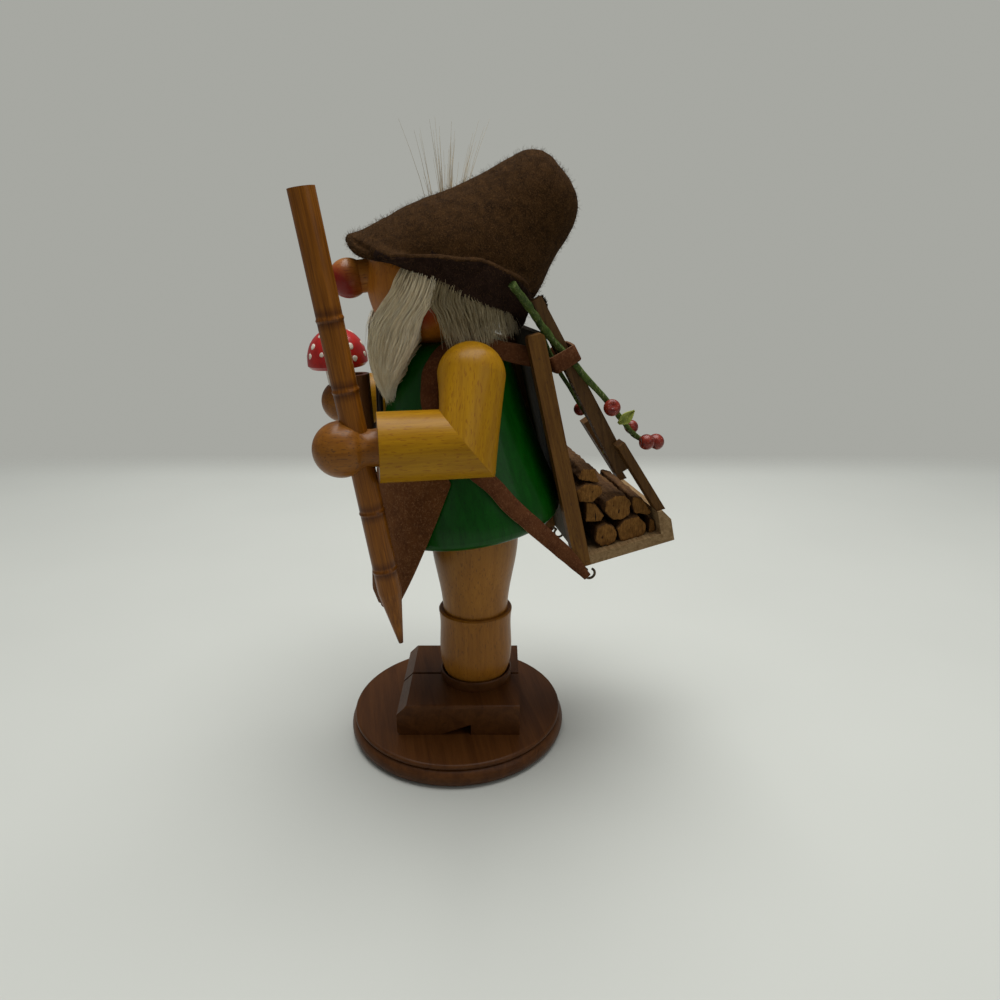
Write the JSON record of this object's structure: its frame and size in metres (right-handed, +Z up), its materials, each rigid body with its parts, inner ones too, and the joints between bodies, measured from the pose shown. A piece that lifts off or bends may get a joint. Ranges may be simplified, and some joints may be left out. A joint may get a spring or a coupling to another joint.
{
  "type": "incense smoker figure",
  "caption": "Turned wooden forester that lifts off its legs so that an incense cone can burn inside, with a sliding staff, a mushroom, a pipe and a back carrier of logs.",
  "frame": {"origin": "centre of the base disc's underside", "axes": "+Z up, toes of the shoes towards -Y; the upper figure is turned 11 degrees about the legs' axis"},
  "size_m": [0.1103, 0.1465, 0.2376],
  "materials": {
    "brown_wood": "satin brown stain",
    "beech": "clear lacquer",
    "trouser_wood": "clear lacquer",
    "brass": "plain",
    "green_gloss": "gloss green stain",
    "face_wood": "clear lacquer",
    "nose_wood": "clear lacquer with a red tip",
    "felt": "fuzzy felt",
    "fur": "off-white fur",
    "yellow_gloss": "gloss yellow stain",
    "hand_wood": "clear lacquer",
    "bamboo": "glossy amber",
    "mushroom_red": "gloss red with white dots",
    "mushroom_white": "gloss white",
    "pipe_wood": "gloss",
    "pipe_black": "gloss black",
    "apron_leather": "suede",
    "strap_leather": "suede with pale cut edges",
    "carrier_wood": "raw sawn",
    "bark_wood": "raw split with bark",
    "twig": "moss green",
    "berry": "red-pink",
    "leaf": "matt yellow-green",
    "dark_steel": "dark bronze"
  },
  "bodies": {
    "legs": {"base_disc": "brown_wood", "shoe_block": "brown_wood", "boot_ring": "brown_wood", "boots": "beech", "trousers": "trouser_wood", "leg_dowel": "beech", "coat_spigot": "beech", "incense_tray": "brass"},
    "figure": {"apron": "apron_leather", "back_board": "carrier_wood", "beard": "fur", "berries": "berry", "coat": "green_gloss", "far_twig": "twig", "hair": "fur", "hat": "felt", "hat_tuft": "fur", "head": "face_wood", "leaves": "leaf", "left_forearm": "yellow_gloss", "left_hand": "hand_wood", "left_lower_strap": "strap_leather", "left_post": "carrier_wood", "left_screw_eye": "dark_steel", "left_shoulder_dowel": "beech", "left_shoulder_strap": "strap_leather", "left_slat": "carrier_wood", "left_upper_arm": "yellow_gloss", "log_1": "bark_wood", "log_2": "bark_wood", "log_3": "bark_wood", "log_4": "bark_wood", "log_5": "bark_wood", "log_6": "bark_wood", "log_7": "bark_wood", "log_8": "bark_wood", "mushroom_cap": "mushroom_red", "mushroom_stem": "mushroom_white", "near_twig": "twig", "nose": "nose_wood", "pipe_bowl": "pipe_wood", "pipe_stem": "pipe_black", "right_forearm": "yellow_gloss", "right_hand": "hand_wood", "right_lower_strap": "strap_leather", "right_post": "carrier_wood", "right_screw_eye": "dark_steel", "right_shoulder_dowel": "beech", "right_shoulder_strap": "strap_leather", "right_slat": "carrier_wood", "right_upper_arm": "yellow_gloss", "shelf": "carrier_wood", "shelf_lip": "carrier_wood", "small_cone": "twig", "stake": "carrier_wood", "tie_band": "strap_leather"},
    "staff": {"staff": "bamboo"}
  },
  "joints": [
    {"name": "figure_lift", "type": "slide", "parent": "legs", "child": "figure", "axis": [0.0249, -0.1281, 0.9914], "range_m": [0, 0.04]},
    {"name": "staff_slide", "type": "slide", "parent": "figure", "child": "staff", "axis": [0.0282, -0.1453, 0.989], "range_m": [-0.008, 0.011]}
  ]
}
